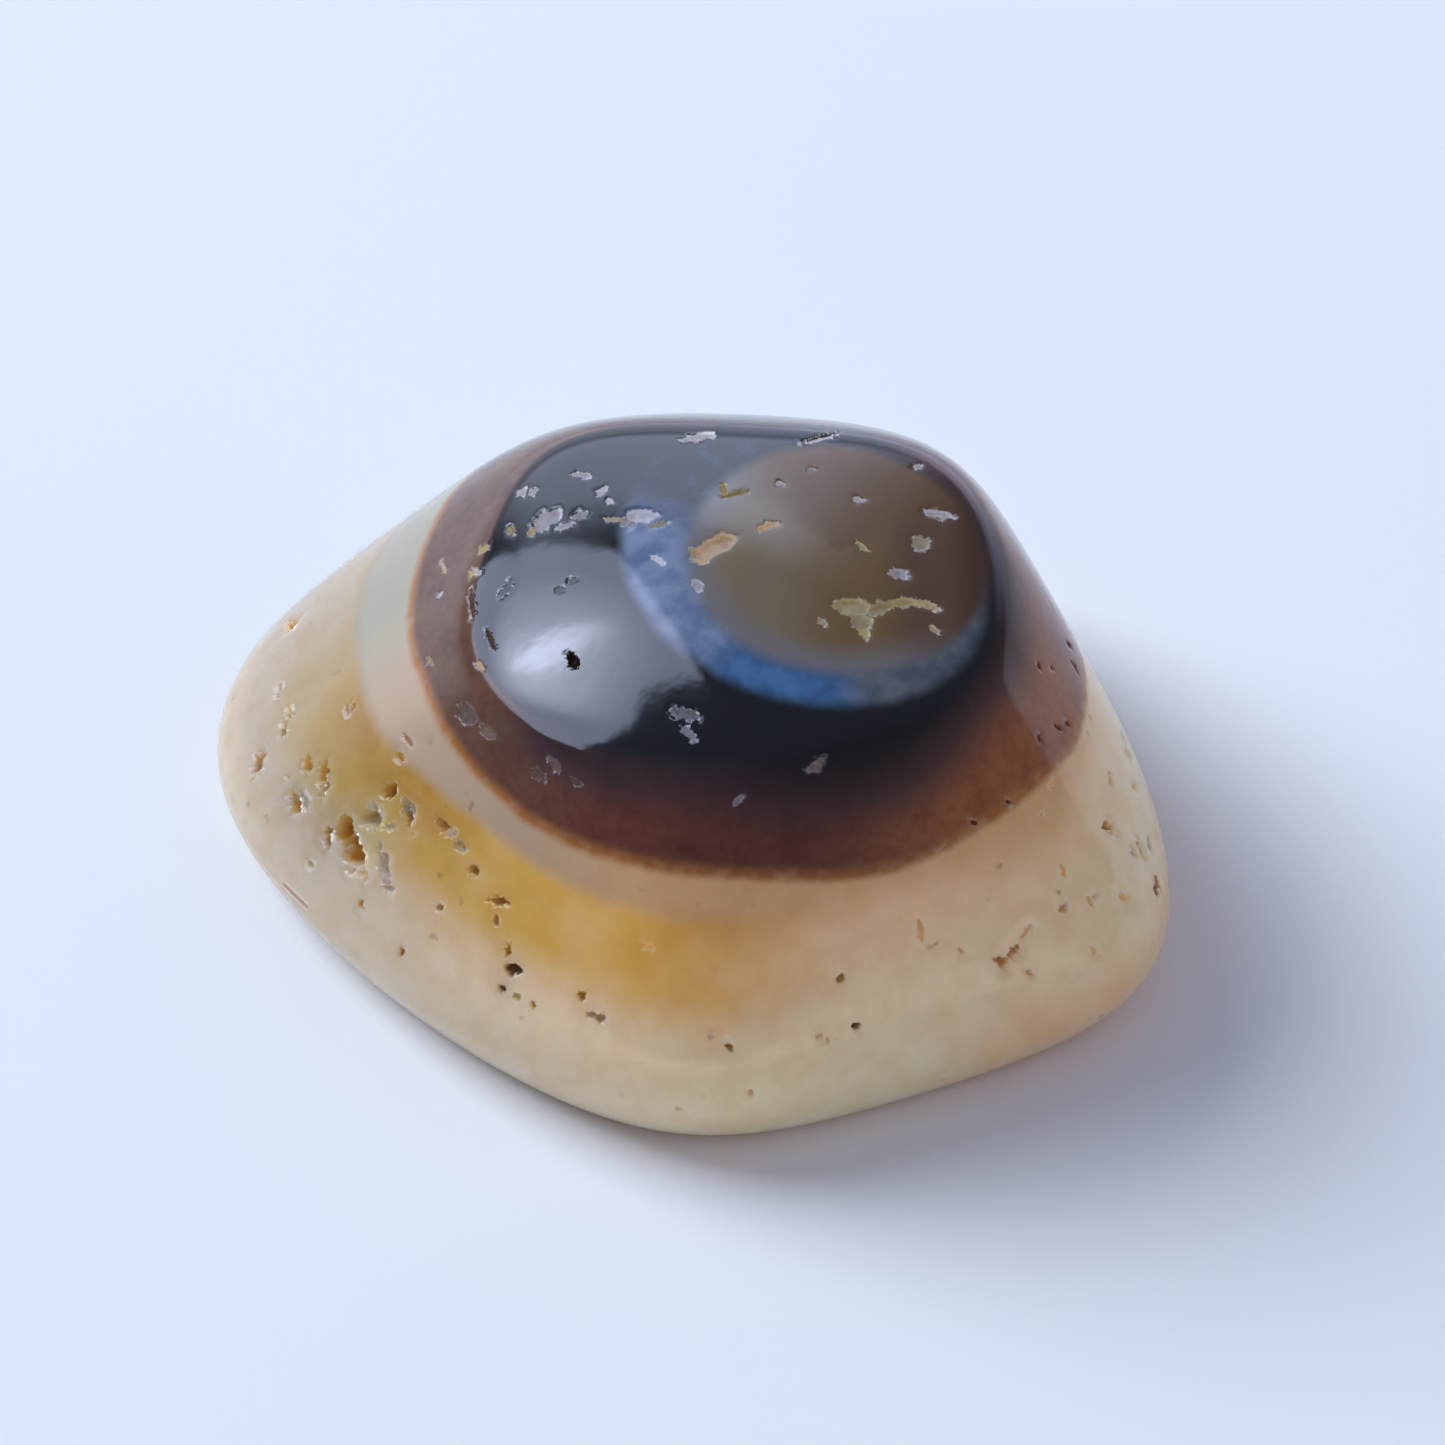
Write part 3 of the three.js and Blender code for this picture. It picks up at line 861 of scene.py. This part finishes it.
def brown_colours(tree, place, worn):
    """The brown: bright at the right, dull at the left and mauve at the back, with grain and patches."""
    middle = CAP_RING[0]
    brown = over(tree, linear(RED_BROWN), linear(BROWN_BRIGHT), towards(tree, place, middle, *BRIGHT_SIDE))
    brown = over(tree, brown, linear(BROWN_LEFT), towards(tree, place, middle, *DULL_BROWN_SIDE))
    brown = over(tree, brown, linear(BROWN_WORN), worn)
    brown = tinted(tree, brown, linear(BROWN_MOTTLE), patches(tree, place, *BROWN_GRAIN))
    brown = tinted(tree, brown, linear(BROWN_CLOUD), patches(tree, place, *BROWN_PATCHES))
    return over(tree, brown, linear(BROWN_MAUVE), towards(tree, place, middle, *MAUVE_SIDE))


def black_ring(tree, place, bent, below, worn, on_top):
    """The black, which ends crisply along the ridge at the left and back, with a thin line on the
    ridge, and softly in front, through a plum shade."""
    middle = CAP_RING[0]
    crisp = towards(tree, place, middle, *CRISP_SIDE)
    plum = span(tree, crisp, 0.0, 1.0, PLUM_SHARE, 0.0)
    plum = times(tree, ring(tree, bent, BLACK_RING, *PLUM_SOFTNESS), plum)
    colour = over(tree, below, linear(PLUM), plum)
    soft_black = ring(tree, bent, BLACK_RING, *BLACK_SOFTNESS)
    share = blend(tree, soft_black, span(tree, on_top, *CRISP_BLACK), crisp)
    black = over(tree, linear(BLACK), linear(BLACK_WORN), times(tree, worn, WORN_SHARE))
    colour = over(tree, colour, black, share)
    line = times(tree, between(tree, on_top, LINE_STARTS, LINE_ENDS), crisp)
    return over(tree, colour, linear(BLACK), times(tree, line, LINE_SHARE))


def cap_rings(tree, place, bent, below):
    """The cap's rings, each laid over the one around it: the rim, brown, black, blue and the iris."""
    middle = CAP_RING[0]
    rim = times(tree, ring(tree, bent, RIM_RING, *RIM_SOFTNESS), patches(tree, place, *RIM_PATCHES))
    colour = over(tree, below, linear(RIM_ORANGE), rim)
    worn = towards(tree, place, middle, *WORN_SIDE)
    brown = brown_colours(tree, place, worn)
    colour = over(tree, colour, brown, ring(tree, bent, CAP_RING, *CAP_SOFTNESS))

    on_top = corner_value(tree, "ridge")
    colour = black_ring(tree, place, bent, colour, worn, on_top)
    # A grey strip along the ridge: a painted reflection of the room on the rounded ridge.
    strip = between(tree, on_top, SHEEN_STARTS, SHEEN_ENDS)
    strip = times(tree, strip, towards(tree, place, middle, *SHEEN_SIDE))
    colour = over(tree, colour, linear(PAINTED_RIDGE_SHEEN), times(tree, strip, SHEEN_SHARE))

    inner = span(tree, on_top, *TOP_STARTS)
    blue = times(tree, ring(tree, bent, BLUE_RING, *BLUE_SOFTNESS), inner)
    colour = over(tree, colour, blue_colours(tree, place), blue)
    iris = times(tree, ring(tree, bent, IRIS_RING, *IRIS_SOFTNESS), inner)
    return over(tree, colour, iris_colours(tree, place, bent), iris)


def blue_colours(tree, place):
    """The blue ring is pale at the left front, deep at the front, dull at the right and nearly black
    at the left back, with cloudy patches."""
    middle = BLUE_RING[0]
    clouds = cloud(tree, place, *BLUE_CLOUD)
    faint = over(tree, linear(BLUE_DARK), linear(BLUE_DEEP), span(tree, clouds, *FAINT_PATCHES))
    blue = over(tree, linear(BLUE_DIM), faint, towards(tree, place, middle, *BLUE_DARK_SIDE))
    blue = over(tree, blue, linear(BLUE_LIGHT), towards(tree, place, middle, *BLUE_LIGHT_SIDE))
    blue = over(tree, blue, linear(BLUE_DEEP), towards(tree, place, middle, *BLUE_DEEP_SIDE))
    return tinted(tree, blue, linear(BLUE_MOTTLE), span(tree, clouds, *BLUE_PATCHES))


def iris_colours(tree, place, bent):
    """From olive at the left through reddish brown to mauve and a brown edge at the right, with a
    grey halo along the front. Its back is painted darker and warmer, a painted shade against the back
    wall's reflection there."""
    iris = over(tree, linear(IRIS_OLIVE), linear(IRIS_RED), along(tree, bent, TO_RIGHT, *IRIS_REDDENS))
    iris = over(tree, iris, linear(IRIS_MAUVE), along(tree, bent, TO_RIGHT, *IRIS_TURNS_MAUVE))
    iris = over(tree, iris, linear(IRIS_EDGE), along(tree, bent, TO_RIGHT, *IRIS_DARKENS))
    iris = over(tree, iris, linear(IRIS_TOP_PAINTED_SHADE), towards(tree, place, IRIS_RING[0], *IRIS_PAINTED_SHADE_SIDE))
    edge = span(tree, ring(tree, bent, IRIS_RING, *HALO_SOFTNESS), 1.0, 0.0)
    front = towards(tree, place, IRIS_RING[0], *HALO_SIDE)
    return over(tree, iris, linear(HALO_GREY), times(tree, edge, front))


def specks(tree, place, below):
    """Brown pores too fine to model: sparse dots, most of them below the cap."""
    wavering = {0: place, 1: shift(tree, place, *SPECK_WAVES)}
    cells = {"Vector": add(tree, "ShaderNodeVectorMath", wavering, operation="ADD"), "Scale": SPECK_CELLS}
    near = add(tree, "ShaderNodeTexVoronoi", cells, output=0)
    pick = split(tree, add(tree, "ShaderNodeTexVoronoi", cells, output=1))[0]
    dot = times(tree, span(tree, near, *SPECK_SIZE), span(tree, pick, *SPECK_PICKED))
    dot = times(tree, dot, span(tree, split(tree, place)[2], *SPECK_ENDS))
    return over(tree, below, linear(SPECK_BROWN), times(tree, dot, SPECK_SHARE)), dot


def agate_material():
    """Polished banded chalcedony. A glassy polish over a waxy, slightly see-through body: cream and
    honey layers glow a little, and the cap's rings are dark and clean-edged."""
    material, tree, shader = new_material("polished banded agate")
    place = add(tree, "ShaderNodeTexCoord", output=3)
    place = add(tree, "ShaderNodeVectorMath", {0: place, "Scale": 1 / MM}, operation="SCALE")
    bent = place
    for waves in BAND_WAVES:
        wavering = {0: bent, 1: shift(tree, place, *waves)}
        bent = add(tree, "ShaderNodeVectorMath", wavering, operation="ADD")

    colour = slope_bands(tree, place, bent)
    colour, dot = specks(tree, place, colour)
    colour = cap_rings(tree, place, bent, colour)
    lining = add(tree, "ShaderNodeAttribute", attribute_name="lining")
    pit = corner_value(tree, "pit")
    slope = span(tree, corner_value(tree, "ridge"), *SLOPE_STARTS)
    full = span(tree, slope, 0.0, 1.0, *LINING_FULL)
    colour = over(tree, colour, lining, times(tree, span(tree, pit, 0.0, full), LINING_SHARE))
    tree.links.new(colour, shader.inputs["Base Color"])

    starts = span(tree, slope, 0.0, 1.0, *MATT_STARTS)
    matt = span(tree, pit, starts, span(tree, slope, 0.0, 1.0, *MATT_FULL))
    tree.links.new(span(tree, matt, 0.0, 1.0, *ROUGHNESS_LEVELS), shader.inputs["Roughness"])
    shader.inputs["IOR"].default_value = AGATE_IOR
    dull = times(tree, slope, towards(tree, place, CAP_RING[0], *UNPOLISHED_SIDE))
    dull = add(tree, "ShaderNodeMath", {0: dull, 1: matt}, operation="MAXIMUM")
    tree.links.new(span(tree, dull, 0.0, 1.0, *GLOSS_LEVELS), shader.inputs["Specular IOR Level"])
    shader.inputs["Subsurface Weight"].default_value = 1.0
    shader.inputs["Subsurface Radius"].default_value = LIGHT_REACH
    shader.inputs["Subsurface Scale"].default_value = LIGHT_DEPTH * MM

    swell = cloud(tree, place, *SWELLS)
    grain = times(tree, cloud(tree, place, *SLOPE_GRAIN), times(tree, slope, GRAIN_SHARE))
    swell = add(tree, "ShaderNodeMath", {0: swell, 1: grain}, operation="ADD")
    swell = add(tree, "ShaderNodeMath", {0: swell, 1: dot}, operation="SUBTRACT")
    relief = {"Strength": BUMP_STRENGTH, "Distance": BUMP_HEIGHT * MM, "Height": swell}
    tree.links.new(add(tree, "ShaderNodeBump", relief), shader.inputs["Normal"])
    return material


# Floor, light and camera


# The floor's linear colour, and half its side in m.
PAPER_WHITE = (0.87, 0.87, 0.86, 1)
FLOOR_REACH = 0.4


def floor_material():
    """Matt white paper. A plain pale ground that takes the shadow and mirrors nothing."""
    material, tree, shader = new_material("matt white paper")
    shader.inputs["Base Color"].default_value = PAPER_WHITE
    shader.inputs["Roughness"].default_value = 1.0
    shader.inputs["Specular IOR Level"].default_value = 0.0
    return material


def make_floor():
    bm = bmesh.new()
    bmesh.ops.create_grid(bm, x_segments=1, y_segments=1, size=FLOOR_REACH)
    mesh = bpy.data.meshes.new("floor")
    bm.to_mesh(mesh)
    bm.free()
    floor = bpy.data.objects.new("floor", mesh)
    bpy.context.scene.collection.objects.link(floor)
    mesh.materials.append(floor_material())


def make_camera():
    camera = bpy.data.objects.new("camera", bpy.data.cameras.new("camera"))
    bpy.context.scene.collection.objects.link(camera)
    screen_up = TO_CAMERA.cross(TO_RIGHT)
    place = Vector(CAMERA_TARGET) + TO_CAMERA * CAMERA_DISTANCE
    place += TO_RIGHT * CAMERA_ASIDE + screen_up * CAMERA_RAISED
    camera.location = place * MM
    camera.rotation_euler = TO_CAMERA.to_track_quat("Z", "Y").to_euler()
    camera.data.sensor_width = SENSOR_WIDTH
    camera.data.lens = LENS
    camera.data.clip_start = NEAREST
    bpy.context.scene.camera = camera


UNLIT = (0, 0, 0, 1)
# The window as two panes that join. Each is given by its corners, as bearings from the picture's right
# and away from the camera and elevations, in degrees.
WINDOW_PANES = (
    ((116, 49.5), (116.5, 66.5), (143, 60.5), (141, 38)),
    ((134, 43.5), (138, 61.7), (157, 59.4), (181, 51.4), (198, 26), (190, 21), (141, 21)),
)
PANE_EDGE = 0.014
WINDOW_LIGHT = (3.0, 3.4, 4.7, 1)
# The band of sky behind it that is brightest: its bearing, its elevation and how far it is turned, in
# degrees, then half its length and half its width as seen from 1 away.
GLOW = (153, 46, 135, 0.46, 0.17)
GLOW_LIGHT = (8.0, 8.8, 11.2, 1)
# A narrow streak of glare across it, given in the same way.
STREAK = (147, 48, 135, 0.24, 0.035)
STREAK_LIGHT = (15.0, 16.5, 21.0, 1)
# A large soft lamp on the window's side, without a reflection of its own: bearing, elevation, then its
# side in m, its radiance and its colour.
LAMP = (150, 35, 0.6, 12.0)
LAMP_COLOUR = (0.76, 0.85, 1.0)
# A weaker one opposite, which softens the shadow.
FILL = (-20, 40, 1.0, 0.5)
FILL_COLOUR = (0.85, 0.9, 1.0)
# The card that carries the window, and the one that carries the wall behind, give reflections only.
# Each: bearing, elevation, width and height in m.
WINDOW_CARD = (160, 42, 1.5, 1.3)
WALL_CARD = (100, 35, 1.7, 0.64)


def area_lamp(name, bearing, elevation, width, height):
    """A lamp a metre from the stone that faces it, with a radiance of 1, unseen by the camera."""
    direction = Vector(heading(bearing + CAMERA_BEARING, elevation))
    light = bpy.data.lights.new(name, "AREA")
    light.shape = "RECTANGLE"
    light.size = width
    light.size_y = height
    light.energy = math.pi * width * height
    lamp = bpy.data.objects.new(name, light)
    bpy.context.scene.collection.objects.link(lamp)
    lamp.location = direction
    lamp.rotation_euler = direction.to_track_quat("Z", "Y").to_euler()
    lamp.visible_camera = False
    return lamp


def make_lamp(name, shape, colour):
    """A soft lamp that lights the stone and the floor but is in no reflection."""
    bearing, elevation, side, radiance = shape
    lamp = area_lamp(name, bearing, elevation, side, side)
    lamp.data.energy *= radiance
    lamp.data.color = colour
    lamp.visible_glossy = False


def reflection_card(name, bearing, elevation, width, height):
    """A card seen only in reflections, its light's tree, and the direction of each point on it."""
    card = area_lamp(name, bearing, elevation, width, height)
    card.visible_diffuse = False
    card.data.use_nodes = True
    tree = card.data.node_tree
    place = add(tree, "ShaderNodeNewGeometry")
    return tree, add(tree, "ShaderNodeVectorMath", {0: place}, operation="NORMALIZE")


def pane(tree, direction, corners):
    """1 towards a pane of the window and 0 past its soft edge."""
    ways = [Vector(heading(bearing + CAMERA_BEARING, elevation)) for bearing, elevation in corners]
    inside = 1.0
    for one, other in zip(ways, ways[1:] + ways[:1]):
        across = dot_product(tree, direction, other.cross(one).normalized())
        inside = times(tree, inside, span(tree, across, -PANE_EDGE, PANE_EDGE))
    return inside


def oval(tree, direction, bearing, elevation, turn, half_length, half_width):
    """1 in the middle of an oval part of the room, falling softly to 0 at its edge."""
    ahead = Vector(heading(bearing + CAMERA_BEARING, elevation))
    facing = ahead.to_track_quat("Z", "Y") @ Quaternion((0, 0, 1), math.radians(turn))
    along_it = dot_product(tree, direction, facing @ Vector((1 / half_length, 0, 0)))
    across_it = dot_product(tree, direction, facing @ Vector((0, 1 / half_width, 0)))
    place = add(tree, "ShaderNodeCombineXYZ", {0: along_it, 1: across_it})
    return span(tree, add(tree, "ShaderNodeVectorMath", {0: place}, output=1, operation="LENGTH"), 1.0, 0.0)


def make_window():
    """The window, brightest along a band of the sky behind it, with a streak of glare."""
    tree, direction = reflection_card("window", *WINDOW_CARD)
    panes = [pane(tree, direction, corners) for corners in WINDOW_PANES]
    window = add(tree, "ShaderNodeMath", {0: panes[0], 1: panes[1]}, operation="MAXIMUM")
    light = over(tree, WINDOW_LIGHT, GLOW_LIGHT, oval(tree, direction, *GLOW))
    light = over(tree, light, STREAK_LIGHT, oval(tree, direction, *STREAK))
    light = over(tree, UNLIT, light, window)
    tree.links.new(light, tree.nodes["Emission"].inputs["Color"])


# The room's own light low down and overhead, and the sines of height between which one turns into
# the other.
ROOM_LOW = (0.17, 0.18, 0.25, 1)
ROOM_HIGH = (0.19, 0.23, 0.34, 1)
ROOM_CHANGE = (0.3, 0.85)
# Brighter parts of the room: each one's colour, its bearing as for a light, the cosines between which
# it grows to full strength, and the sines of height where it begins, is full, is last full and ends.
BACK_WALL = ((2.1, 2.4, 3.2, 1), 102, (0.81, 0.97), (0.34, 0.46, 0.66, 0.76))
BACK_SILL = ((1.2, 1.35, 1.8, 1), 95, (0.6, 0.9), (-0.6, -0.5, 0.30, 0.42))
LEFT_SILL = ((1.2, 1.25, 1.5, 1), 148, (0.90, 0.98), (-0.6, -0.5, 0.12, 0.25))
FRONT_STRIP = ((1.5, 1.4, 1.3, 1), -85, (0.3, 0.8), (-0.6, -0.5, 0.06, 0.12))


def part_of_room(tree, direction, bearing, side, levels):
    """1 towards one part of the room, fading out past its sides, its foot and its top."""
    height = split(tree, direction)[2]
    facing = towards(tree, direction, STONE_MIDDLE, bearing + CAMERA_BEARING, *side)
    risen = times(tree, span(tree, height, *levels[:2]), span(tree, height, levels[3], levels[2]))
    return times(tree, facing, risen)


def make_back_wall():
    """A bright bluish wall behind the stone."""
    tree, direction = reflection_card("back wall", *WALL_CARD)
    colour, bearing, side, levels = BACK_WALL
    light = over(tree, UNLIT, colour, part_of_room(tree, direction, bearing, side, levels))
    tree.links.new(light, tree.nodes["Emission"].inputs["Color"])


def make_world():
    """A dim room with a pale sill behind and at the left, and a pale strip in front."""
    world = bpy.data.worlds.new("room")
    bpy.context.scene.world = world
    world.use_nodes = True
    tree = world.node_tree
    direction = add(tree, "ShaderNodeTexCoord", output=0)
    height = split(tree, direction)[2]
    light = over(tree, ROOM_LOW, ROOM_HIGH, span(tree, height, *ROOM_CHANGE))
    for colour, bearing, side, levels in (BACK_SILL, LEFT_SILL, FRONT_STRIP):
        light = over(tree, light, colour, part_of_room(tree, direction, bearing, side, levels))
    tree.links.new(light, tree.nodes["Background"].inputs["Color"])


make_camera()
make_floor()
make_lamp("soft lamp", LAMP, LAMP_COLOUR)
make_lamp("fill lamp", FILL, FILL_COLOUR)
make_window()
make_back_wall()
make_world()
bpy.context.scene.view_settings.view_transform = "Standard"

stone = make_stone()
stone.data.materials.append(agate_material())
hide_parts("eye_agate")
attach(stone, "root")
